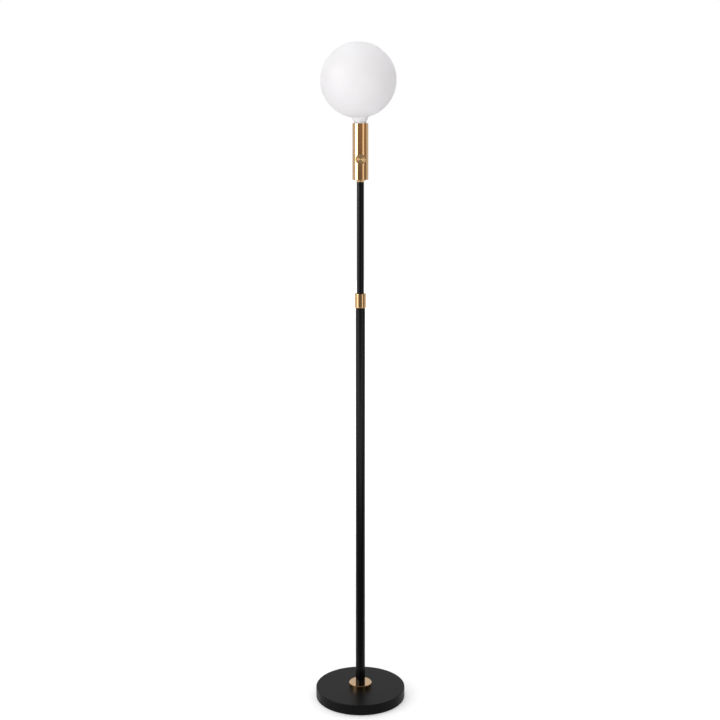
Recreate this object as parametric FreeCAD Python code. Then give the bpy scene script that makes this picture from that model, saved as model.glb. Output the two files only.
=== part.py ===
import FreeCAD, Part
import math
import os

from FreeCAD import Vector as V

# Globe floor lamp. Millimetres, +Z up, the front faces -Y.
# The origin is on the floor, on the axis of the pole.

# Driving dimensions
GLOBE_D = 150.0          # opal glass globe
NECK_RISE = 10.3         # lowest point of the globe above the rim of the holder
GLASS_T = 1.2
GLASS_LEAN = 2.6         # degrees that the glass leans to -X in its cap
NECK_D = 23.2            # neck where it enters the cap
NECK_TOP_D = 33.6        # neck where it meets the globe
NECK_BLEND = 2.5         # rounding between neck and globe
STEM_H = 34.0            # stem that carries the light board into the globe

BASE_D = 180.0
BASE_TOP = 21.4
BASE_EDGE = 1.0
PAD_T = 2.0
PAD_PROUD = 1.2          # pad below the casting
PAD_INSET = 5.0          # edge of the pad inside the edge of the base
RECESS_D = 58.0
RECESS_H = 13.0
GROOVE_W = 9.0
GROOVE_H = 8.0

COLLAR_D = 45.6
COLLAR_H = 8.2
COLLAR_EDGE = 0.8

LOWER_D = 19.0
LOWER_T = 1.2
UPPER_D = 14.4
UPPER_T = 1.0
UPPER_BOTTOM = 420.0
UPPER_TOP = 1052.0

SLEEVE_D = 23.0
SLEEVE_BOTTOM = 800.7
SLEEVE_TOP = 829.7
SLEEVE_LAP = 6.3         # sleeve below the end of the lower tube
SLEEVE_EDGE = 1.6

FERRULE_D = 22.0         # wide upper end, the narrow end fits the upper tube
FERRULE_H = 4.3
HOLDER_D = 32.0
HOLDER_H = 111.1
HOLDER_T = 0.7
HOLDER_FLOOR = 1.5
KNOB_D = 20.0
KNOB_T = 7.5
KNOB_UP = 41.2           # the knob's axis above the underside of the holder
KNOB_GAP = 0.5           # knob's back to the front line of the holder

STUD_D = 10.0
STUD_BORE = 6.5
NIPPLE_D = 8.0
NIPPLE_BORE = 5.0
SHAFT_D = 4.0
FLEX_D = 4.4
COIL_R = 5.2             # radius of the coiled flex, to the middle of the wire
COIL_WIRE = 3.2
COIL_TURNS = 22
CAP_D = 26.0
CAP_GAP = 0.35           # lamp cap to screw shell, radial
SCREW_R = 9.0            # screws of the lampholder, from the axis
BRACKET_SCREW_D = 2.4
TERMINAL_SCREW_D = 3.0
TERMINAL_HEAD = 2.2      # height of a terminal screw's head
LEAD_D = 1.8
LEAD_GAP = 0.2           # between a lead's end and the screw head over it
RUN_FIT = 0.1            # radial running fit of turned and sliding parts
FREE_FIT = 0.3           # radial clearance where parts pass freely

# Worked out from the dimensions above
BASE_BOTTOM = PAD_PROUD
PAD_D = BASE_D - 2 * PAD_INSET
RECESS_TOP = BASE_BOTTOM + RECESS_H
INLET_Z = PAD_T + GROOVE_H / 2 + 1.0
COIL_BOTTOM = BASE_TOP + 36.0
LOWER_TOP = SLEEVE_BOTTOM + SLEEVE_LAP
LOWER_BORE = LOWER_D / 2 - LOWER_T
UPPER_BORE = UPPER_D / 2 - UPPER_T
HOLDER_BOTTOM = UPPER_TOP + FERRULE_H
KNOB_Z = HOLDER_BOTTOM + KNOB_UP
HOLDER_RIM = HOLDER_BOTTOM + HOLDER_H
HOLDER_INSIDE = HOLDER_BOTTOM + HOLDER_FLOOR
HOLDER_BORE = HOLDER_D / 2 - HOLDER_T
GLOBE_Z = HOLDER_RIM + NECK_RISE + GLOBE_D / 2
CAP_TOP = HOLDER_RIM - 1.4
CAP_SHELL_BOTTOM = CAP_TOP - 24.0
TIP_Z = CAP_SHELL_BOTTOM - 6.5
INSERT_BOTTOM = TIP_Z - 8.5
INSERT_FLOOR = INSERT_BOTTOM + 4.0
INSERT_TOP = CAP_TOP - 1.0
KNOB_BACK = -HOLDER_D / 2 - KNOB_GAP
KNOB_FRONT = KNOB_BACK - KNOB_T
SEAT_Y = -HOLDER_D / 2 - 0.9
NUT_T = 2.0
SWITCH_FRONT = 3.3 - HOLDER_BORE
SWITCH_BACK = SWITCH_FRONT + 10.5


def cyl(r, z0, z1, x=0.0, y=0.0):
    return Part.makeCylinder(r, z1 - z0, V(x, y, z0))


def ring(r_out, r_in, z0, z1):
    return cyl(r_out, z0, z1).cut(cyl(r_in, z0 - 1, z1 + 1))


def cyl_y(r, y0, y1, z, x=0.0):
    return Part.makeCylinder(r, abs(y1 - y0), V(x, min(y0, y1), z), V(0, 1, 0))


def box(x0, x1, y0, y1, z0, z1):
    return Part.makeBox(x1 - x0, y1 - y0, z1 - z0, V(x0, y0, z0))


def revolve(points):
    """Turn a closed (radius, height) outline about the Z axis."""
    wire = Part.makePolygon([V(r, 0, z) for r, z in points + points[:1]])
    return Part.Face(wire).revolve(V(0, 0, 0), V(0, 0, 1), 360)


def hexagon(across_flats, z0, z1):
    r = across_flats / math.sqrt(3)
    corners = [V(r * math.cos(math.radians(60 * i)), r * math.sin(math.radians(60 * i)), z0)
               for i in range(7)]
    return Part.Face(Part.makePolygon(corners)).extrude(V(0, 0, z1 - z0))


def path(points, r):
    """A round wire along straight runs, with a ball at each corner."""
    shape = None
    for a, b in zip(points, points[1:]):
        a, b = V(*a), V(*b)
        run = Part.makeCylinder(r, (b - a).Length, a, b - a)
        shape = run if shape is None else shape.fuse(run)
    for p in points[1:-1]:
        shape = shape.fuse(Part.makeSphere(r, V(*p)))
    return shape.removeSplitter()


def circle_edges(shape, z, r):
    """The round edges of a shape at one height and radius."""
    return [e for e in shape.Edges
            if not e.Degenerated and isinstance(e.Curve, Part.Circle)
            and abs(e.Curve.Center.z - z) < 0.01 and abs(e.Curve.Radius - r) < 0.01]


def group(shapes):
    return Part.makeCompound(shapes)


# Foot

def base_plate():
    plate = cyl(BASE_D / 2, BASE_BOTTOM, BASE_TOP)
    plate = plate.makeFillet(BASE_EDGE, circle_edges(plate, BASE_TOP, BASE_D / 2))
    plate = plate.makeChamfer(0.6, circle_edges(plate, BASE_BOTTOM, BASE_D / 2))
    plate = plate.cut(cyl(PAD_D / 2 + 0.3, BASE_BOTTOM - 1, PAD_T))
    plate = plate.cut(cyl(RECESS_D / 2, BASE_BOTTOM, RECESS_TOP))
    plate = plate.cut(cyl(STUD_D / 2 + 0.25, BASE_BOTTOM, BASE_TOP + 1))
    groove = box(-GROOVE_W / 2, GROOVE_W / 2, 0, BASE_D / 2 - 5, PAD_T, PAD_T + GROOVE_H)
    inlet = cyl_y(GROOVE_W / 2, BASE_D / 2 - 14, BASE_D / 2 + 1, INLET_Z)
    inlet = inlet.fuse(cyl_y(GROOVE_W / 2 + 1.0, BASE_D / 2 - 1.8, BASE_D / 2 + 1, INLET_Z))
    screw_hole = cyl(1.5, RECESS_TOP - 1, RECESS_TOP + 5, -20)
    return plate.cut(groove).cut(inlet).cut(screw_hole)


def base_pad():
    return cyl(PAD_D / 2, 0, PAD_T)


def cord_gland():
    sleeve = cyl_y(GROOVE_W / 2, BASE_D / 2 - 5, BASE_D / 2 - 1, INLET_Z)
    lip = cyl_y(GROOVE_W / 2 + 1.0, BASE_D / 2 - 1.8, BASE_D / 2 - 0.3, INLET_Z)
    bore = cyl_y(3.2, BASE_D / 2 - 6, BASE_D / 2 + 1, INLET_Z)
    return sleeve.fuse(lip).cut(bore).removeSplitter()


def foot_collar():
    collar = cyl(COLLAR_D / 2, BASE_TOP, BASE_TOP + COLLAR_H)
    rim = circle_edges(collar, BASE_TOP + COLLAR_H, COLLAR_D / 2)
    return collar.makeChamfer(COLLAR_EDGE, rim).cut(cyl(LOWER_D / 2 + 0.1, 0, BASE_TOP + 20))


def foot_plug():
    return ring(LOWER_BORE, STUD_D / 2, BASE_TOP, BASE_TOP + 20)


def foot_stud():
    return ring(STUD_D / 2, STUD_BORE / 2, RECESS_TOP - 7.0, BASE_TOP + 18)


def foot_washer():
    return ring(11, STUD_D / 2 + 0.2, RECESS_TOP - 1.2, RECESS_TOP)


def foot_nut():
    nut = hexagon(16, RECESS_TOP - 1.2 - 5.0, RECESS_TOP - 1.2)
    return nut.cut(cyl(STUD_D / 2, 0, BASE_TOP))


def earth_tag():
    eye = cyl(4, RECESS_TOP - 0.8, RECESS_TOP, -20)
    tail = box(-20 - 1.6, -20 + 1.6, -14, 0, RECESS_TOP - 0.8, RECESS_TOP)
    return eye.fuse(tail).cut(cyl(1.6, 0, BASE_TOP, -20))


def earth_screw():
    head = cyl(3, RECESS_TOP - 3.0, RECESS_TOP - 0.8, -20)
    return head.fuse(cyl(1.5, RECESS_TOP - 0.8, RECESS_TOP + 4.5, -20))


def foot_flex():
    low = PAD_T + FLEX_D / 2 + 0.1
    points = [(0, BASE_D / 2 - 4.5, INLET_Z), (0, BASE_D / 2 - 20, low), (0, 13, low), (0, 0, low),
              (0, 0, BASE_TOP + 20), (COIL_R, 0, BASE_TOP + 28),
              (COIL_R, 0, COIL_BOTTOM - COIL_WIRE / 2 - 0.4)]
    return path(points, FLEX_D / 2)


# Pole

def lower_tube():
    return ring(LOWER_D / 2, LOWER_BORE, BASE_TOP, LOWER_TOP)


def collet_bush():
    bore = UPPER_D / 2 + FREE_FIT
    finger = LOWER_D / 2 - 0.7
    seat = LOWER_TOP + 6
    tip = SLEEVE_TOP - 6
    body = revolve([(bore, LOWER_TOP - 24), (LOWER_BORE, LOWER_TOP - 24), (LOWER_BORE, LOWER_TOP),
                    (LOWER_D / 2, LOWER_TOP), (LOWER_D / 2, seat), (finger, seat + 1.0),
                    (finger, tip - 2), (finger - 0.4, tip), (bore, tip)])
    for turn in (0, 60, 120):
        slot = box(-0.5, 0.5, -12, 12, seat + 2, tip + 1)
        slot.rotate(V(0, 0, 0), V(0, 0, 1), turn)
        body = body.cut(slot)
    return body


def clamp_ring():
    z0 = SLEEVE_TOP - 6
    z1 = SLEEVE_TOP - 2.4
    bore = UPPER_D / 2 + RUN_FIT
    wide = LOWER_D / 2 - 0.1
    body = revolve([(bore, z0), (wide, z0), (wide, z0 + 1), (wide - 1.2, z1), (bore, z1)])
    return body.cut(box(-0.7, 0.7, 0, 12, z0 - 1, z1 + 1))


def clamp_sleeve():
    r = SLEEVE_D / 2
    sleeve = cyl(r, SLEEVE_BOTTOM, SLEEVE_TOP)
    edges = circle_edges(sleeve, SLEEVE_TOP, r) + circle_edges(sleeve, SLEEVE_BOTTOM, r)
    sleeve = sleeve.makeFillet(SLEEVE_EDGE, edges)
    inner = LOWER_D / 2 + RUN_FIT
    lip = UPPER_D / 2 + FREE_FIT
    cone = revolve([(0, SLEEVE_BOTTOM - 1), (inner, SLEEVE_BOTTOM - 1), (inner, SLEEVE_TOP - 4.8),
                    (inner - 1.0, SLEEVE_TOP - 2.0), (lip, SLEEVE_TOP - 2.0), (lip, SLEEVE_TOP + 1),
                    (0, SLEEVE_TOP + 1)])
    return sleeve.cut(cone)


def coiled_flex():
    """Flex wound inside the lower tube; it stretches with the telescope."""
    height = UPPER_BOTTOM - 4 - COIL_BOTTOM
    pitch = height / COIL_TURNS
    slope = pitch / (2 * math.pi * COIL_R)
    helix = Part.makeHelix(pitch, height, COIL_R)
    start = Part.Wire([Part.makeCircle(COIL_WIRE / 2, V(COIL_R, 0, 0), V(0, 1, slope))])
    coil = Part.Wire(helix).makePipeShell([start], True, True)
    coil.translate(V(0, 0, COIL_BOTTOM))
    return coil


def upper_tube():
    return ring(UPPER_D / 2, UPPER_BORE, UPPER_BOTTOM, UPPER_TOP)


def guide_bush():
    plug = cyl(UPPER_BORE, UPPER_BOTTOM, UPPER_BOTTOM + 16)
    foot = cyl(LOWER_BORE - RUN_FIT, UPPER_BOTTOM - 2, UPPER_BOTTOM)
    skirt = ring(LOWER_BORE - RUN_FIT, UPPER_D / 2, UPPER_BOTTOM, UPPER_BOTTOM + 24)
    bore = cyl(FLEX_D / 2 + 0.4, UPPER_BOTTOM - 3, UPPER_BOTTOM + 30)
    return plug.fuse(foot).fuse(skirt).cut(bore).removeSplitter()


def mast_flex():
    return cyl(FLEX_D / 2, UPPER_BOTTOM - 2, HOLDER_INSIDE + 12)


# Lampholder

def head_plug():
    return ring(UPPER_BORE, NIPPLE_D / 2, UPPER_TOP - 16, UPPER_TOP)


def holder_ferrule():
    small = UPPER_D / 2 + 0.25
    bore = NIPPLE_D / 2 + 0.1
    return revolve([(bore, UPPER_TOP), (small, UPPER_TOP), (FERRULE_D / 2 - 0.3, HOLDER_BOTTOM - 0.6),
                    (FERRULE_D / 2, HOLDER_BOTTOM), (bore, HOLDER_BOTTOM)])


def holder_nipple():
    return ring(NIPPLE_D / 2, NIPPLE_BORE / 2, UPPER_TOP - 14, HOLDER_INSIDE + 8)


def holder_body():
    body = cyl(HOLDER_D / 2, HOLDER_BOTTOM, HOLDER_RIM)
    body = body.makeFillet(0.4, circle_edges(body, HOLDER_BOTTOM, HOLDER_D / 2))
    body = body.cut(cyl(HOLDER_BORE, HOLDER_INSIDE, HOLDER_RIM + 1))
    body = body.cut(cyl(NIPPLE_D / 2 + 0.1, HOLDER_BOTTOM - 1, HOLDER_INSIDE + 1))
    return body.cut(cyl_y(3.6, -HOLDER_D / 2 - 1, 0, KNOB_Z))


def holder_bracket():
    z0, z1 = HOLDER_INSIDE, INSERT_BOTTOM
    x1, t, w = HOLDER_BORE - 1.3, 1.2, 5.5
    strap = box(-x1, x1, -w, w, z0, z0 + t)
    strap = strap.fuse(box(-x1, -x1 + t, -w, w, z0, z1)).fuse(box(x1 - t, x1, -w, w, z0, z1))
    strap = strap.fuse(box(-x1, -x1 + 8, -w, w, z1 - t, z1)).fuse(box(x1 - 8, x1, -w, w, z1 - t, z1))
    strap = strap.cut(cyl(NIPPLE_D / 2 + 0.1, z0 - 1, z0 + t + 1))
    for x in (-SCREW_R, SCREW_R):
        strap = strap.cut(cyl(BRACKET_SCREW_D / 2 + RUN_FIT, z1 - t - 1, z1 + 1, x))
    return strap.removeSplitter()


def holder_washer():
    z0 = HOLDER_INSIDE + 1.2
    return ring(6.8, NIPPLE_D / 2 + 0.1, z0, z0 + 0.8)


def holder_nut():
    z0 = HOLDER_INSIDE + 2.0
    return hexagon(12, z0, z0 + 3.5).cut(cyl(NIPPLE_D / 2, z0 - 1, z0 + 5))


def bracket_screws():
    screws = []
    for x in (-SCREW_R, SCREW_R):
        shank = cyl(BRACKET_SCREW_D / 2, INSERT_BOTTOM - 1.2, INSERT_BOTTOM + 3, x)
        screws.append(cyl(2.3, INSERT_BOTTOM - 2.8, INSERT_BOTTOM - 1.2, x).fuse(shank))
    return group(screws)


def lampholder_body():
    shell = CAP_D / 2 + CAP_GAP + 0.5
    body = cyl(HOLDER_BORE - 0.1, INSERT_BOTTOM, INSERT_TOP)
    body = body.cut(cyl(shell, INSERT_FLOOR, INSERT_TOP + 1))
    for x in (-SCREW_R, SCREW_R):
        body = body.cut(cyl(BRACKET_SCREW_D / 2, INSERT_BOTTOM - 1, INSERT_BOTTOM + 3, x))
    for y in (-SCREW_R, SCREW_R):
        body = body.cut(cyl(TERMINAL_SCREW_D / 2, INSERT_BOTTOM - 1, INSERT_FLOOR + 1, 0, y))
    return body


def screw_shell():
    bore = CAP_D / 2 + CAP_GAP
    shell = ring(bore + 0.4, bore, INSERT_FLOOR, INSERT_TOP - 1.5)
    tab = box(-2.5, 2.5, 6.5, bore + 0.2, INSERT_FLOOR, INSERT_FLOOR + 0.5)
    hole = cyl(TERMINAL_SCREW_D / 2, INSERT_FLOOR - 1, INSERT_FLOOR + 1, 0, SCREW_R)
    return shell.fuse(tab).cut(hole).removeSplitter()


def centre_contact():
    strip = box(-2.5, 2.5, -12, -6.5, INSERT_FLOOR, INSERT_FLOOR + 0.5)
    riser = box(-2.5, 2.5, -7.0, -6.5, INSERT_FLOOR, TIP_Z)
    tongue = box(-2.5, 2.5, -7.0, 3.0, TIP_Z - 0.5, TIP_Z)
    hole = cyl(TERMINAL_SCREW_D / 2, INSERT_FLOOR - 1, INSERT_FLOOR + 1, 0, -SCREW_R)
    return strip.fuse(riser).fuse(tongue).cut(hole).removeSplitter()


def terminal_screws():
    screws = []
    for y in (-SCREW_R, SCREW_R):
        shank = cyl(TERMINAL_SCREW_D / 2, INSERT_BOTTOM, INSERT_FLOOR + 1.0, 0, y)
        screws.append(shank.fuse(cyl(2.6, INSERT_BOTTOM - TERMINAL_HEAD, INSERT_BOTTOM, 0, y)))
    return group(screws)


def holder_leads():
    start = HOLDER_INSIDE + 12.2
    end = INSERT_BOTTOM - TERMINAL_HEAD - LEAD_GAP
    over = KNOB_Z + 11.5                # clear of the top of the switch
    bend = (over + end) / 2
    live = [(0, -1.2, start), (0, -1.2, start + 6), (-4, 1.8, KNOB_Z - 9), (-4, 1.8, KNOB_Z - 5)]
    switched = [(4, 1.8, KNOB_Z - 9), (4, 1.8, over), (0, -SCREW_R, bend), (0, -SCREW_R, end)]
    neutral = [(0, 1.2, start), (-1, 5.5, start + 10), (-1, 6.5, over), (0, SCREW_R, bend),
               (0, SCREW_R, end)]
    return group([path(points, LEAD_D / 2) for points in (live, switched, neutral)])


# Switch

def switch_body():
    body = box(-8, 8, SWITCH_FRONT, SWITCH_BACK, KNOB_Z - 10, KNOB_Z + 10)
    for x in (-4, 4):
        body = body.fuse(box(x - 0.4, x + 0.4, SWITCH_BACK, SWITCH_BACK + 1.8, KNOB_Z - 9, KNOB_Z - 5))
    return body.cut(cyl_y(SHAFT_D / 2 + 0.3, SWITCH_FRONT - 1, SWITCH_FRONT + 4, KNOB_Z))


def switch_bushing():
    tube = cyl_y(3.5, SWITCH_FRONT, SEAT_Y - NUT_T - 0.4, KNOB_Z)
    return tube.cut(cyl_y(SHAFT_D / 2 + 0.05, SWITCH_FRONT + 1, KNOB_FRONT, KNOB_Z))


def switch_saddle():
    disc = cyl_y(6.2, SEAT_Y, -12, KNOB_Z).cut(cyl(HOLDER_D / 2, KNOB_Z - 20, KNOB_Z + 20))
    return disc.cut(cyl_y(3.6, SEAT_Y - 1, 0, KNOB_Z))


def switch_nut():
    nut = hexagon(10, 0, NUT_T)
    nut.rotate(V(0, 0, 0), V(1, 0, 0), 90)
    nut.translate(V(0, SEAT_Y, KNOB_Z))
    return nut.cut(cyl_y(3.5, SEAT_Y - NUT_T - 1, 0, KNOB_Z))


def knob():
    body = cyl_y(KNOB_D / 2, KNOB_FRONT, KNOB_BACK, KNOB_Z)
    rims = [e for e in body.Edges if isinstance(e.Curve, Part.Circle)
            and abs(e.Curve.Center.y - KNOB_FRONT) < 0.01]
    body = body.makeChamfer(0.5, rims)
    dish = cyl_y(KNOB_D / 2 - 1.2, KNOB_FRONT - 1, KNOB_FRONT + 0.25, KNOB_Z)
    pocket = cyl_y(7.4, KNOB_BACK + 1, KNOB_FRONT + 3.9, KNOB_Z)
    shaft = cyl_y(SHAFT_D / 2, KNOB_BACK + 1, KNOB_FRONT + 1.2, KNOB_Z)
    screw = cyl(1.0, KNOB_Z - KNOB_D, KNOB_Z, 0, KNOB_FRONT + 2.2)
    return body.cut(dish).cut(pocket).cut(shaft).cut(screw)


def switch_shaft():
    return cyl_y(SHAFT_D / 2, KNOB_FRONT + 1.2, SWITCH_FRONT + 3.5, KNOB_Z)


def knob_screw():
    return cyl(1.0, KNOB_Z - KNOB_D / 2 + 0.8, KNOB_Z - SHAFT_D / 2, 0, KNOB_FRONT + 2.2)


# Lamp

def globe_form(inset):
    """Globe with a widening neck, drawn inwards by the inset."""
    r = GLOBE_D / 2 - inset
    low, high = NECK_D / 2 - inset, NECK_TOP_D / 2 - inset
    z0 = CAP_TOP + 0.6
    z1 = GLOBE_Z - math.sqrt(r ** 2 - high ** 2)
    bend = Part.Arc(V(low, 0, z0), V((low + high) / 2 - 0.35, 0, (z0 + z1) / 2), V(high, 0, z1))
    outline = [V(high, 0, z1), V(0, 0, z1 + 1), V(0, 0, CAP_TOP - 3), V(low, 0, CAP_TOP - 3),
               V(low, 0, z0)]
    wire = Part.Wire([bend.toShape()] + Part.makePolygon(outline).Edges)
    neck = Part.Face(wire).revolve(V(0, 0, 0), V(0, 0, 1), 360)
    form = Part.makeSphere(r, V(0, 0, GLOBE_Z)).fuse(neck).removeSplitter()
    return form.makeFillet(NECK_BLEND + inset, circle_edges(form, z1, high))


def lean(shape):
    shape.rotate(V(0, 0, CAP_TOP - 1), V(0, 1, 0), -GLASS_LEAN)
    return shape


def bulb_globe():
    inside = globe_form(GLASS_T).fuse(cyl(NECK_D / 2 - GLASS_T, CAP_TOP - 4, CAP_TOP))
    return lean(globe_form(0).cut(inside))


def bulb_cap():
    r = CAP_D / 2
    mouth = NECK_D / 2 + 0.35
    z0 = CAP_SHELL_BOTTOM
    return revolve([(9.0, z0), (r - 1.2, z0), (r, z0 + 2.4), (r, CAP_TOP), (mouth, CAP_TOP),
                    (mouth, CAP_TOP - 4), (r - 0.5, CAP_TOP - 4), (r - 0.5, z0 + 2.6),
                    (r - 1.6, z0 + 0.5), (9.0, z0 + 0.5)])


def cap_insulator():
    z0 = CAP_SHELL_BOTTOM
    return revolve([(0, TIP_Z + 1.2), (4.8, TIP_Z + 1.2), (10.8, z0), (9.0, z0),
                    (9.0, z0 + 1.6), (0, z0 + 1.6)])


def tip_contact():
    return cyl(4.6, TIP_Z, TIP_Z + 1.2)


def led_stem():
    z0 = CAP_TOP - 8
    top = z0 + STEM_H
    return revolve([(0, z0), (9.8, z0), (9.8, z0 + 3), (6.0, z0 + 7), (5.0, top), (0, top)])


def led_board():
    z0 = CAP_TOP - 8 + STEM_H
    return cyl(9.0, z0, z0 + 1.6)


def led_chips():
    z0 = CAP_TOP - 8 + STEM_H + 1.6
    chips = []
    for i in range(8):
        a = math.radians(45 * i)
        x, y = 6.6 * math.cos(a), 6.6 * math.sin(a)
        chips.append(box(x - 1.4, x + 1.4, y - 1.4, y + 1.4, z0, z0 + 0.7))
    return group(chips)


def driver_board():
    z0, z1 = CAP_SHELL_BOTTOM + 1.6, CAP_TOP - 8
    board = box(-8.5, 8.5, -0.8, 0.8, z0, z1)
    store = cyl(3.2, z0 + 2, z1 - 2, 0, 3.8)
    coil = box(-3, 3, -5.6, -0.8, z0 + 3, z1 - 3)
    return board.fuse(store).fuse(coil)


NODES = [base_plate, base_pad, cord_gland, foot_collar, foot_plug, foot_stud, foot_washer,
         foot_nut, earth_tag, earth_screw, foot_flex,
         lower_tube, collet_bush, clamp_ring, clamp_sleeve, coiled_flex, upper_tube, guide_bush,
         mast_flex,
         head_plug, holder_ferrule, holder_nipple, holder_washer, holder_nut, holder_body,
         holder_bracket, bracket_screws, lampholder_body, screw_shell, centre_contact,
         terminal_screws, holder_leads,
         switch_body, switch_bushing, switch_saddle, switch_nut, switch_shaft, knob, knob_screw,
         bulb_globe, bulb_cap, cap_insulator, tip_contact, led_stem, led_board, led_chips,
         driver_board]

os.makedirs("parts", exist_ok=True)
for make in NODES:
    shape = make()
    if not shape.isValid():
        print("not valid:", make.__name__)
    print(make.__name__, len(shape.Solids), round(shape.Volume, 1))
    shape.exportStep("parts/" + make.__name__ + ".step")
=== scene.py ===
# %% [markdown]
# # A globe floor lamp
# The metalwork of this lamp comes ready from its CAD model. This script loads it, gives each
# part the surface of the real thing, adds the rolled screw threads that CAD left plain, and
# sets up a small photo studio. Everything is in metres, with the floor at z = 0 and the knob
# facing -Y.

# %% Load the lamp
import bpy
import math
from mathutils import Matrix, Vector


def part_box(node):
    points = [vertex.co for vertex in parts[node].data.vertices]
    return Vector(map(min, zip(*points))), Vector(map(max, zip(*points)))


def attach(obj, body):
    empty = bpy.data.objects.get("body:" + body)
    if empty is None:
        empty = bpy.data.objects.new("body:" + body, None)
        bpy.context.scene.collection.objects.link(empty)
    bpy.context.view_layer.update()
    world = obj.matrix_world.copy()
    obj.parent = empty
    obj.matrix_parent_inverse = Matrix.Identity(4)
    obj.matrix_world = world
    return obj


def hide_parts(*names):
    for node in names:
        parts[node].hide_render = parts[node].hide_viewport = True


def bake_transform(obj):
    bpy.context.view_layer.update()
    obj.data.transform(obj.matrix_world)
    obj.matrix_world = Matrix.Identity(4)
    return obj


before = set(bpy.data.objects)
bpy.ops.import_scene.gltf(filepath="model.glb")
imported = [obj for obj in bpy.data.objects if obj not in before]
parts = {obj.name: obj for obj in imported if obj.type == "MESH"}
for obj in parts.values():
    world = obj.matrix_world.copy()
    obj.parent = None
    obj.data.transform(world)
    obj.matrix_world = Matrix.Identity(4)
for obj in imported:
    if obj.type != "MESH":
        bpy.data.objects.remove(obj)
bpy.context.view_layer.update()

# %% [markdown]
# ## Two small tools
# A shader is a tree of nodes. One helper adds a node with its settings and its links in a single
# line, so that each material below reads like a recipe. The other turns the hex colour that a
# paint chart gives into the linear numbers that the renderer works in.

# %% Helpers for colours and nodes
def linear(hex_colour):
    values = [int(hex_colour[i:i + 2], 16) / 255 for i in (1, 3, 5)]
    values = [v / 12.92 if v <= 0.04045 else ((v + 0.055) / 1.055) ** 2.4 for v in values]
    return (*values, 1.0)


def add(tree, kind, inputs=None, **settings):
    node = tree.nodes.new(kind)
    for name, value in settings.items():
        setattr(node, name, value)
    for name, value in (inputs or {}).items():
        if isinstance(value, bpy.types.NodeSocket):
            tree.links.new(value, node.inputs[name])
        else:
            node.inputs[name].default_value = value
    return node


def new_material(name, **constants):
    material = bpy.data.materials.new(name)
    material.use_nodes = True
    shader = material.node_tree.nodes["Principled BSDF"]
    for socket, value in constants.items():
        shader.inputs[socket.replace("_", " ")].default_value = value
    return material, material.node_tree, shader


def paint(material, *names):
    for name in names:
        for slot in parts[name].material_slots:
            slot.material = material


print("mid grey:", round(linear("#808080")[0], 3))

# %% [markdown]
# ## Powder coat
# The tubes and the base wear satin black powder coat: dry paint, sprayed on as a charged powder
# and baked until it flows. It never flows quite flat, so the eye sees a soft broad gloss with the
# fine pebbling called orange peel. A noise texture drives a shallow bump. Real orange peel
# is about 0.5 mm wide; it is drawn at 1.2 mm here, because a finer grain would vanish at this
# distance. Tone and gloss also drift a little in clouds about 60 mm wide. The specular level is
# matched and not a real value: such paint has about 0.5, but under these lamps that came
# out paler than in the photograph, on the base more than on the tubes.

# %% Satin black powder coat
PEEL = 0.0012
PEEL_DEPTH = 0.0001
CLOUD = 0.06

def powder_coat(name, colour, roughness, bump, shine):
    material, tree, shader = new_material(name, IOR=1.5, Specular_IOR_Level=shine)
    spot = add(tree, "ShaderNodeTexCoord").outputs["Object"]
    peel = add(tree, "ShaderNodeTexNoise", {"Vector": spot, "Scale": 1 / PEEL, "Detail": 2.0})
    cloud = add(tree, "ShaderNodeTexNoise", {"Vector": spot, "Scale": 1 / CLOUD, "Detail": 3.0})
    tone = add(tree, "ShaderNodeMix", {"Factor": cloud.outputs["Fac"], "A": linear(colour[0]),
                                       "B": linear(colour[1])}, data_type="RGBA")
    gloss = add(tree, "ShaderNodeMapRange", {"Value": cloud.outputs["Fac"],
                                             "To Min": roughness[0], "To Max": roughness[1]})
    dents = add(tree, "ShaderNodeBump", {"Height": peel.outputs["Fac"], "Strength": bump,
                                         "Distance": PEEL_DEPTH})
    tree.links.new(tone.outputs["Result"], shader.inputs["Base Color"])
    tree.links.new(gloss.outputs["Result"], shader.inputs["Roughness"])
    tree.links.new(dents.outputs["Normal"], shader.inputs["Normal"])
    return material


tube_coat = powder_coat("satin black powder coat on tube", ("#050505", "#090909"),
                        roughness=(0.20, 0.25), bump=0.05, shine=0.12)
base_coat = powder_coat("satin black powder coat on cast iron", ("#080809", "#0d0d0e"),
                        roughness=(0.36, 0.44), bump=0.3, shine=0.07)
paint(tube_coat, "lower_tube", "upper_tube")
paint(base_coat, "base_plate")
print("powder coat grain in mm:", PEEL * 1000)

# %% [markdown]
# ## Brass
# The ferrule, sleeve, collar and knob are free-cutting brass turned on a lathe, and the holder is
# a drawn brass tube that was skimmed on one. All are polished and lacquered. The metal gives
# warm, sharp stripes of light and dark. The lathe leaves very fine rings round the axis, so the
# noise is squeezed along that axis and left long round the part. Real tool marks are about
# 0.05 mm apart; they are drawn at 0.4 mm so that they catch some light. The tone drifts in
# patches of 12 mm, as brass does with age. The lacquer is a thin clear coat, which puts a
# neutral white edge on the highlights. The colours are darker than clean brass, because they
# are matched to the photograph under the lamps below.

# %% Turned and lacquered brass
TOOL_MARK = 0.0004
MARK_LENGTH = 0.03
MARK_DEPTH = 0.00005
PATCH = 0.012

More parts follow.
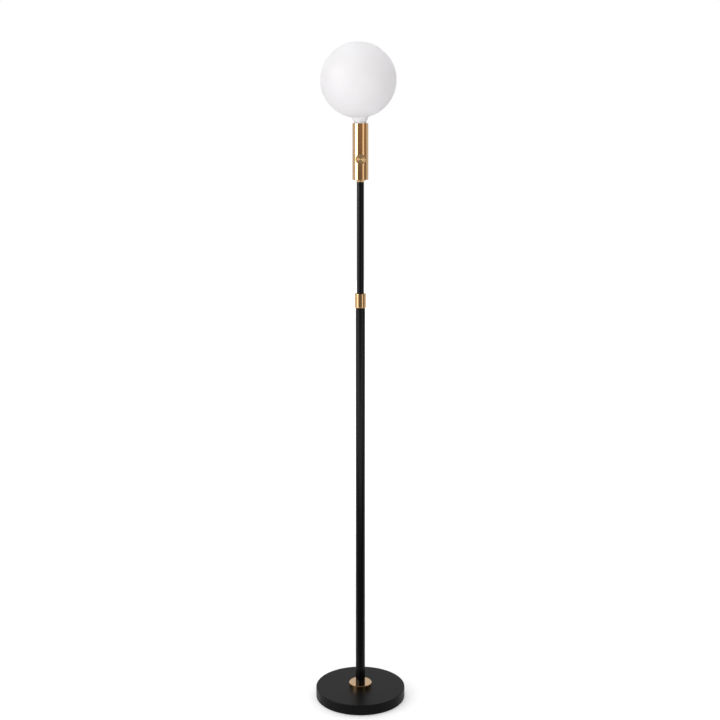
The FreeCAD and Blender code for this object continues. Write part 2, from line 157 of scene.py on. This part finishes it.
def turned_brass(name, axis="Z", roughness=(0.10, 0.14), colours=("#ad8a5c", "#b89468")):
    material, tree, shader = new_material(name, Metallic=1.0, Coat_Weight=0.6,
                                          Coat_Roughness=0.08)
    spot = add(tree, "ShaderNodeTexCoord").outputs["Object"]
    along = 1 / TOOL_MARK
    round_it = 1 / MARK_LENGTH
    stretch = (round_it, along, round_it) if axis == "Y" else (round_it, round_it, along)
    lathe = add(tree, "ShaderNodeMapping", {"Vector": spot, "Scale": stretch})
    marks = add(tree, "ShaderNodeTexNoise", {"Vector": lathe.outputs["Vector"], "Scale": 1.0,
                                             "Detail": 2.0})
    age = add(tree, "ShaderNodeTexNoise", {"Vector": spot, "Scale": 1 / PATCH, "Detail": 4.0})
    tone = add(tree, "ShaderNodeMix", {"Factor": age.outputs["Fac"], "A": linear(colours[0]),
                                       "B": linear(colours[1])}, data_type="RGBA")
    gloss = add(tree, "ShaderNodeMapRange", {"Value": marks.outputs["Fac"],
                                             "To Min": roughness[0], "To Max": roughness[1]})
    dents = add(tree, "ShaderNodeBump", {"Height": marks.outputs["Fac"], "Strength": 0.012,
                                         "Distance": MARK_DEPTH})
    tree.links.new(tone.outputs["Result"], shader.inputs["Base Color"])
    tree.links.new(gloss.outputs["Result"], shader.inputs["Roughness"])
    tree.links.new(dents.outputs["Normal"], shader.inputs["Normal"])
    return material, tree, shader


brass, _, _ = turned_brass("turned lacquered brass")
paint(brass, "holder_body", "holder_ferrule", "clamp_sleeve", "foot_collar")
saddle_brass, _, _ = turned_brass("turned brass washer", axis="Y")
paint(saddle_brass, "switch_saddle")
print("tool marks in mm:", TOOL_MARK * 1000)

# %% [markdown]
# ## The faced knob
# The front of the knob was faced: the tool travelled from rim to centre and cut a fine spiral.
# Such a face shows a bow tie of light that stays put while the knob turns. Anisotropic gloss
# with a tangent that circles the knob's own axis makes that bow tie from the shader alone, and
# a ring-shaped wave adds grooves that can be seen close up, 0.5 mm apart.

# %% Faced brass for the knob
GROOVE = 0.0005

low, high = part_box("knob")
knob_centre = [(a + b) / 2 for a, b in zip(low, high)]
faced_brass, tree, shader = turned_brass("faced brass knob", axis="Y", roughness=(0.44, 0.5),
                                         colours=("#b39468", "#c2a378"))
shader.inputs["Anisotropic"].default_value = 1.0
shader.inputs["Anisotropic Rotation"].default_value = 0.25
shader.inputs["Coat Weight"].default_value = 0.1
spot = add(tree, "ShaderNodeTexCoord").outputs["Object"]
centred = add(tree, "ShaderNodeVectorMath", {0: spot, 1: knob_centre}, operation="SUBTRACT")
rings = add(tree, "ShaderNodeTexWave", {"Vector": centred.outputs["Vector"],
                                        "Scale": math.pi / (10 * GROOVE)},
            wave_type="RINGS", rings_direction="Y")
grooves = add(tree, "ShaderNodeBump", {"Height": rings.outputs["Fac"], "Strength": 0.15,
                                       "Distance": MARK_DEPTH})
circle = add(tree, "ShaderNodeTangent", direction_type="RADIAL", axis="Y")
tree.links.new(grooves.outputs["Normal"], shader.inputs["Normal"])
tree.links.new(circle.outputs["Tangent"], shader.inputs["Tangent"])
paint(faced_brass, "knob")
print("knob centre:", [round(v, 4) for v in knob_centre])

# %% [markdown]
# ## Opal glass
# The globe is blown opal glass: clear glass with a milky layer that scatters light, so it looks
# white all through. An acid bath has taken the shine off its skin, which leaves only a soft satin
# sheen. Half of the light goes through the milky wall instead of back, is spread inside the
# hollow globe and comes out all round, so the shading stays soft up to the rim. That half is the
# share of the translucent shader, matched to the photograph. The white is one step of 255
# towards blue only to offset the warm wall of the studio below. Blown glass is never quite even,
# so a slow bump, 25 mm from wave to wave, keeps it from looking machined.

# %% Opal glass
WAVE = 0.025

opal, tree, shader = new_material("satin opal glass", Roughness=0.5, IOR=1.52,
                                  Specular_IOR_Level=0.3)
spot = add(tree, "ShaderNodeTexCoord").outputs["Object"]
swell = add(tree, "ShaderNodeTexNoise", {"Vector": spot, "Scale": 1 / WAVE, "Detail": 1.0})
milk = add(tree, "ShaderNodeMix", {"Factor": swell.outputs["Fac"], "A": linear("#f8f8f9"),
                                   "B": linear("#fcfcfd")}, data_type="RGBA")
ripple = add(tree, "ShaderNodeBump", {"Height": swell.outputs["Fac"], "Strength": 0.05,
                                      "Distance": 0.001})
through = add(tree, "ShaderNodeBsdfTranslucent", {"Color": milk.outputs["Result"]})
wall = add(tree, "ShaderNodeMixShader", {"Fac": 0.5, 1: shader.outputs["BSDF"],
                                         2: through.outputs["BSDF"]})
tree.links.new(milk.outputs["Result"], shader.inputs["Base Color"])
tree.links.new(ripple.outputs["Normal"], shader.inputs["Normal"])
tree.links.new(wall.outputs["Shader"], tree.nodes["Material Output"].inputs["Surface"])
paint(opal, "bulb_globe")
print("glass wave in mm:", WAVE * 1000)

# %% [markdown]
# ## Plated steel, nickel and plain brass
# Nuts, washers, screws, plugs, the bracket and the split bush are steel with bright zinc plate,
# which looks grey with a faint bluish mottle. The screw shells are thin brass with nickel over
# it. Contacts, the earth tag and the neck of the switch are plain brass. All three are metals
# with a little mottling in tone and gloss, so one recipe with different numbers serves them.

# %% Small metal parts
def mottled_metal(name, colours, roughness, grain):
    material, tree, shader = new_material(name, Metallic=1.0)
    spot = add(tree, "ShaderNodeTexCoord").outputs["Object"]
    mottle = add(tree, "ShaderNodeTexNoise", {"Vector": spot, "Scale": 1 / grain, "Detail": 4.0})
    tone = add(tree, "ShaderNodeMix", {"Factor": mottle.outputs["Fac"], "A": linear(colours[0]),
                                       "B": linear(colours[1])}, data_type="RGBA")
    gloss = add(tree, "ShaderNodeMapRange", {"Value": mottle.outputs["Fac"],
                                             "To Min": roughness[0], "To Max": roughness[1]})
    tree.links.new(tone.outputs["Result"], shader.inputs["Base Color"])
    tree.links.new(gloss.outputs["Result"], shader.inputs["Roughness"])
    return material


zinc = mottled_metal("bright zinc on steel", ("#a9adb3", "#c9ccd0"), (0.28, 0.42), 0.003)
nickel = mottled_metal("nickel on brass shell", ("#b9b2a6", "#d0c9bd"), (0.18, 0.28), 0.004)
strip_brass = mottled_metal("plain brass strip", ("#b8923f", "#cfab5c"), (0.25, 0.4), 0.004)
paint(zinc, "foot_plug", "foot_stud", "foot_washer", "foot_nut", "earth_screw", "collet_bush",
      "head_plug", "holder_nipple", "holder_washer", "holder_nut", "holder_bracket",
      "bracket_screws", "terminal_screws", "switch_nut", "switch_shaft", "knob_screw")
paint(strip_brass, "earth_tag", "centre_contact", "switch_bushing", "tip_contact")
print("metals:", zinc.name, "/", nickel.name, "/", strip_brass.name)

# %% [markdown]
# ## Plastics, rubber and foam
# What insulates or cushions is mostly moulded. Thermoset and nylon come out of a fine
# spark-eroded mould with a matt skin, rubber is dull, and the pad under the base is cut from
# closed-cell foam whose cells are about 0.8 mm wide. The boards, the yellow diodes and the black
# glass of the cap have smooth skins with little grain, so the same recipe serves them. A cell
# pattern makes the foam and a noise makes the rest, each at a real grain size from 0.4 to 2 mm.

# %% Moulded and foamed parts
FOAM_CELL = 0.0008

def moulded(name, colours, roughness, grain, bump, cells=False):
    material, tree, shader = new_material(name, Roughness=roughness)
    spot = add(tree, "ShaderNodeTexCoord").outputs["Object"]
    kind = "ShaderNodeTexVoronoi" if cells else "ShaderNodeTexNoise"
    skin = add(tree, kind, {"Vector": spot, "Scale": 1 / grain})
    height = skin.outputs["Distance" if cells else "Fac"]
    tone = add(tree, "ShaderNodeMix", {"Factor": height, "A": linear(colours[0]),
                                       "B": linear(colours[1])}, data_type="RGBA")
    dents = add(tree, "ShaderNodeBump", {"Height": height, "Strength": bump,
                                         "Distance": grain / 10})
    tree.links.new(tone.outputs["Result"], shader.inputs["Base Color"])
    tree.links.new(dents.outputs["Normal"], shader.inputs["Normal"])
    return material


foam = moulded("closed-cell foam pad", ("#1c1c1d", "#2b2b2c"), 0.85, FOAM_CELL, 0.6,
               cells=True)
rubber = moulded("black rubber bush", ("#161616", "#1f1f1f"), 0.7, 0.0008, 0.3)
sheath = moulded("flex sheath", ("#18181a", "#222224"), 0.5, 0.001, 0.2)
thermoset = moulded("black thermoset moulding", ("#141414", "#202020"), 0.45, 0.0006, 0.3)
nylon = moulded("natural nylon", ("#d9d3c4", "#e6e1d4"), 0.5, 0.0008, 0.2)
white_plastic = moulded("white heat-proof plastic", ("#e4e3e0", "#efeeeb"), 0.5, 0.0008, 0.2)
lead_cover = moulded("brown lead cover", ("#5a3320", "#6b3f28"), 0.4, 0.001, 0.1)
mask_white = moulded("white solder mask", ("#e9e9e6", "#f3f3f0"), 0.35, 0.0006, 0.1)
phosphor = moulded("yellow phosphor", ("#e0b43a", "#eec64f"), 0.4, 0.0004, 0.2)
laminate = moulded("green board laminate", ("#1f6b3a", "#27794a"), 0.4, 0.0006, 0.2)
seal_glass = moulded("black cap glass", ("#0f0f10", "#1a1a1c"), 0.12, 0.002, 0.1)
paint(foam, "base_pad")
paint(rubber, "cord_gland")
paint(sheath, "foot_flex", "mast_flex", "coiled_flex")
paint(thermoset, "lampholder_body", "switch_body")
paint(nylon, "clamp_ring", "guide_bush")
paint(white_plastic, "led_stem")
paint(lead_cover, "holder_leads")
paint(mask_white, "led_board")
paint(phosphor, "led_chips")
paint(laminate, "driver_board")
paint(seal_glass, "cap_insulator")
print("foam cells in mm:", FOAM_CELL * 1000)

# %% [markdown]
# ## Rolled screw threads
# The lamp's cap and the shell that it screws into are thin metal rolled into a round, shallow
# thread with a pitch of 3.6 mm. CAD has them as plain rings. A thread is a grid of points wrapped
# round the axis, whose radius swells and sinks as a wave that climbs one pitch per turn. The wave
# fades out at both ends, as rolling does, and a second wall inside gives the sheet its thickness.
# The socket's shell is seen only when the globe is lifted out, so there a wave in the material
# stands for the rolls: a bump, and a colour that is painted lighter on the crests as painted
# highlight and darker in the grooves as painted shade.

# %% A rolled thread as a wrapped grid
PITCH = 0.0036
STEPS = 64
ROWS_A_TURN = 10

def rolled_shell(name, low, high, wall, depth, keep_plain):
    """A threaded shell inside the box low-high, smooth for keep_plain metres at its top."""
    middle = [(a + b) / 2 for a, b in zip(low, high)]
    radius = (high[0] - low[0]) / 2
    rows = int((high[2] - low[2]) / PITCH * ROWS_A_TURN)
    points, faces = [], []
    for inset in (0.0, wall):
        for row in range(rows + 1):
            z = low[2] + (high[2] - low[2]) * row / rows
            fade = min(1.0, (z - low[2]) / PITCH, max(0.0, high[2] - keep_plain - z) / PITCH)
            for step in range(STEPS):
                turn = step / STEPS
                wave = 0.5 + 0.5 * math.cos(math.tau * ((z - low[2]) / PITCH - turn))
                r = radius - depth * (1 - wave) * fade - inset
                points.append((middle[0] + r * math.cos(math.tau * turn),
                               middle[1] + r * math.sin(math.tau * turn), z))
    ring = (rows + 1) * STEPS
    for side in (0, 1):
        for row in range(rows):
            for step in range(STEPS):
                a = side * ring + row * STEPS + step
                b = side * ring + row * STEPS + (step + 1) % STEPS
                quad = (a, b, b + STEPS, a + STEPS)
                faces.append(quad if side == 0 else quad[::-1])
    for edge in (0, rows * STEPS):
        for step in range(STEPS):
            a = edge + step
            b = edge + (step + 1) % STEPS
            quad = (a, a + ring, b + ring, b)
            faces.append(quad if edge == 0 else quad[::-1])
    mesh = bpy.data.meshes.new(name)
    mesh.from_pydata(points, [], faces)
    for face in mesh.polygons:
        face.use_smooth = True
    shell = bpy.data.objects.new(name, mesh)
    bpy.context.collection.objects.link(shell)
    mesh.materials.append(nickel)
    return shell


socket_nickel, tree, shader = new_material("nickel socket thread", Metallic=1.0, Roughness=0.3)
spot = add(tree, "ShaderNodeTexCoord").outputs["Object"]
rolls = add(tree, "ShaderNodeTexWave", {"Vector": spot, "Scale": math.pi / (10 * PITCH)},
            bands_direction="Z", wave_profile="SIN")
# The colour follows the same wave: painted highlight on the thread crests, painted shade in its
# grooves.
painted_roll_shade = add(tree, "ShaderNodeMix", {"Factor": rolls.outputs["Fac"], "A": linear("#b9b2a6"),
                                    "B": linear("#d0c9bd")}, data_type="RGBA")
rounds = add(tree, "ShaderNodeBump", {"Height": rolls.outputs["Fac"], "Distance": 0.0006})
tree.links.new(painted_roll_shade.outputs["Result"], shader.inputs["Base Color"])
tree.links.new(rounds.outputs["Normal"], shader.inputs["Normal"])
paint(socket_nickel, "screw_shell")

cap = rolled_shell("cap_thread", *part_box("bulb_cap"), wall=0.0005, depth=0.0009,
                   keep_plain=0.004)
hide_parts("bulb_cap")
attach(cap, "bulb")

# %% [markdown]
# ## The coiled flex
# Inside the lower tube the flex is wound into a coil, so that it gives way as the mast slides. The
# CAD coil is a stiff helix on the stand. The same helix is wound here from its size and its 22
# turns, as a mesh of its own that takes the CAD coil's place.

# %% A coil wound from the CAD helix
TURNS = 22
WIRE = 0.0032
SIDES = 10
RINGS_A_TURN = 24

low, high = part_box("coiled_flex")
coil_radius = (high[0] - low[0] - WIRE) / 2
foot, top = low[2] + WIRE / 2, high[2] - WIRE / 2
tilt = math.atan((top - foot) / (math.tau * coil_radius * TURNS))
points, faces = [], []
for step in range(TURNS * RINGS_A_TURN + 1):
    turn = math.tau * step / RINGS_A_TURN
    z = foot + (top - foot) * step / (TURNS * RINGS_A_TURN)
    for side in range(SIDES):
        out = coil_radius + WIRE / 2 * math.cos(math.tau * side / SIDES)
        up = WIRE / 2 * math.sin(math.tau * side / SIDES)
        points.append((out * math.cos(turn) + up * math.sin(tilt) * math.sin(turn),
                       out * math.sin(turn) - up * math.sin(tilt) * math.cos(turn),
                       z + up * math.cos(tilt)))
        if step:
            a, b = step * SIDES + side, step * SIDES + (side + 1) % SIDES
            faces.append((a - SIDES, b - SIDES, b, a))
last = len(points) - 1
faces += [tuple(range(SIDES)), tuple(range(last, last - SIDES, -1))]
coil_mesh = bpy.data.meshes.new("flex_coil")
coil_mesh.from_pydata(points, [], faces)
for face in coil_mesh.polygons:
    face.use_smooth = len(face.vertices) == 4
coil_mesh.materials.append(sheath)
coil = bpy.data.objects.new("flex_coil", coil_mesh)
bpy.context.collection.objects.link(coil)
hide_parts("coiled_flex")
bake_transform(coil)
print("coil turns:", TURNS, "radius in mm:", round(coil_radius * 1000, 2))

# %% [markdown]
# ## The studio
# The lamp stands on a white paper sweep that runs into a white background, as in a product
# photograph. The white comes from Light Path: a camera or glossy ray that meets the paper finds
# some light added to it, and less near the lamp, so that its shadow stays. The paper ends
# just in front of the base. Beyond it is a made-up room, fitted to what the brass reflects: dim
# grey below and above, with a warm wall at eye level. Polished brass needs that dark to show its
# shape.

# %% Floor and surrounding light
FRONT_EDGE = -0.15
SWEEP = 6

floor_mesh = bpy.data.meshes.new("studio_floor")
floor_mesh.from_pydata([(-SWEEP, FRONT_EDGE, 0), (SWEEP, FRONT_EDGE, 0), (SWEEP, SWEEP, 0),
                        (-SWEEP, SWEEP, 0)], [], [(0, 1, 2, 3)])
floor = bpy.data.objects.new("studio_floor", floor_mesh)
bpy.context.collection.objects.link(floor)

floor_white, tree, shader = new_material("pale studio floor", Roughness=0.9)
shader.inputs["Base Color"].default_value = linear("#e6e6e6")
seen = add(tree, "ShaderNodeLightPath")
direct = add(tree, "ShaderNodeMath", {0: seen.outputs["Is Camera Ray"],
                                      1: seen.outputs["Is Glossy Ray"]}, operation="MAXIMUM")
spot = add(tree, "ShaderNodeTexCoord").outputs["Object"]
reach = add(tree, "ShaderNodeVectorMath", {0: spot}, operation="LENGTH")
added = add(tree, "ShaderNodeMapRange", {"Value": reach.outputs["Value"], "From Min": 0.3,
                                         "From Max": 1.5, "To Min": 0.27, "To Max": 0.7})
lift = add(tree, "ShaderNodeMath", {0: direct.outputs["Value"], 1: added.outputs["Result"]},
           operation="MULTIPLY")
glow = add(tree, "ShaderNodeEmission", {"Color": linear("#ffffff"),
                                        "Strength": lift.outputs["Value"]})
both = add(tree, "ShaderNodeAddShader", {0: shader.outputs["BSDF"], 1: glow.outputs["Emission"]})
tree.links.new(both.outputs["Shader"], tree.nodes["Material Output"].inputs["Surface"])
floor_mesh.materials.append(floor_white)

world = bpy.data.worlds.new("studio")
bpy.context.scene.world = world
world.use_nodes = True
tree = world.node_tree
sky = tree.nodes["Background"]
look = add(tree, "ShaderNodeTexCoord").outputs["Generated"]
ways = add(tree, "ShaderNodeSeparateXYZ", {"Vector": look})
depth = add(tree, "ShaderNodeMapRange", {"Value": ways.outputs["Y"], "From Min": -0.15,
                                         "From Max": 0.10},
            interpolation_type="SMOOTHSTEP")
rise = add(tree, "ShaderNodeMapRange", {"Value": ways.outputs["Z"], "From Min": -0.4,
                                        "From Max": 0.4})
room = add(tree, "ShaderNodeValToRGB", {"Fac": rise.outputs["Result"]})
ramp = room.color_ramp.elements
ramp[0].position, ramp[0].color = 0.41, linear("#868282")
ramp[1].position, ramp[1].color = 0.46, linear("#c6ab9a")
for place, colour in ((0.58, "#c6ab9a"), (0.70, "#8c8a89")):
    ramp.new(place).color = linear(colour)
ray = add(tree, "ShaderNodeLightPath")
backdrop = add(tree, "ShaderNodeMath", {0: depth.outputs["Result"],
                                        1: ray.outputs["Is Camera Ray"]}, operation="MAXIMUM")
hue = add(tree, "ShaderNodeMix", {"Factor": backdrop.outputs["Value"],
                                  "A": room.outputs["Color"], "B": linear("#ffffff")},
          data_type="RGBA")
tree.links.new(hue.outputs["Result"], sky.inputs["Color"])
sky.inputs["Strength"].default_value = 1.0
print("floor and world ready")

# %% [markdown]
# ## Lamps
# The lamps are split in two kinds, which real lamps are not, so that the stripes on the metal and
# the shade on the globe can be matched one at a time. A soft box at the left and a weaker, taller
# panel at the right are seen only in reflections: they put the white stripe and the second, tan
# stripe on the brass. A dimmer box stands under the left one, for the sleeve and the lower tube,
# and a lit stretch of floor in front greys the middle of that tube. Four washes reach only the
# matt side of things: from the left, the front, above and below. They shade the globe and cast
# the shadow on the paper.

# %% Soft boxes and fill
def soft_box(name, place, aim, width, height, power, in_gloss=True, in_diffuse=True):
    light = bpy.data.lights.new(name, "AREA")
    light.shape = "RECTANGLE"
    light.size = width
    light.size_y = height
    light.energy = power
    lamp = bpy.data.objects.new(name, light)
    bpy.context.collection.objects.link(lamp)
    lamp.location = place
    away = [a - b for a, b in zip(place, aim)]
    flat = math.hypot(away[0], away[1])
    lamp.rotation_euler = (math.atan2(flat, away[2]), 0, math.atan2(away[0], -away[1]))
    lamp.visible_camera = False
    lamp.visible_glossy = in_gloss
    lamp.visible_diffuse = in_diffuse
    return lamp


soft_box("left_box", (-1.66, -0.92, 1.46), (0, 0, 1.1), 1.3, 1.3, 48, in_diffuse=False)
soft_box("left_low_box", (-1.66, -0.92, 0.41), (0, 0, 0.41), 1.3, 0.8, 8.5, in_diffuse=False)
soft_box("right_panel", (1.30, -1.45, 1.10), (0, 0, 0.9), 0.8, 2.0, 7, in_diffuse=False)
soft_box("lit_floor", (0, -2.1, 0.0), (0, -2.1, 1.0), 7.0, 1.6, 80, in_diffuse=False)
soft_box("left_wash", (-2.3, -1.8, 1.4), (0, 0, 1.0), 3.0, 2.6, 46, in_gloss=False)
soft_box("front_fill", (1.0, -2.8, 0.8), (0, 0, 1.0), 3.0, 1.6, 46, in_gloss=False)
soft_box("top_wash", (-0.3, -0.3, 3.0), (0, 0, 1.25), 1.5, 1.5, 15, in_gloss=False)
soft_box("low_wash", (-0.3, -0.5, 0.5), (0, 0, 1.25), 0.5, 0.3, 2, in_gloss=False)

# %% [markdown]
# ## The camera
# The photograph was taken from 2.6 m away and 1.23 m up, tilted 5 degrees down. Those numbers
# come from fitting a pinhole camera to the outlines of globe, sleeve, collar and base. The
# vertical shift puts the whole lamp in the frame without bending its upright lines: the lens
# looks at row 205 of the picture, not at its middle.

# %% Camera at the photograph's viewing angle
FOCAL_PX = 1327.1
PICTURE_PX = 720
AXIS_ROW = 205.3
TILT_DOWN = 4.862
SENSOR_MM = 36

camera_data = bpy.data.cameras.new("photo_camera")
camera_data.sensor_width = SENSOR_MM
camera_data.lens = FOCAL_PX / PICTURE_PX * SENSOR_MM
camera_data.shift_y = (AXIS_ROW - PICTURE_PX / 2) / PICTURE_PX
camera = bpy.data.objects.new("photo_camera", camera_data)
bpy.context.collection.objects.link(camera)
camera.location = (-0.0008, -2.6176, 1.228)
camera.rotation_euler = (math.radians(90 - TILT_DOWN), 0, 0)
bpy.context.scene.camera = camera
bpy.context.scene.view_settings.view_transform = "Standard"
print("lens in mm:", round(camera_data.lens, 2))
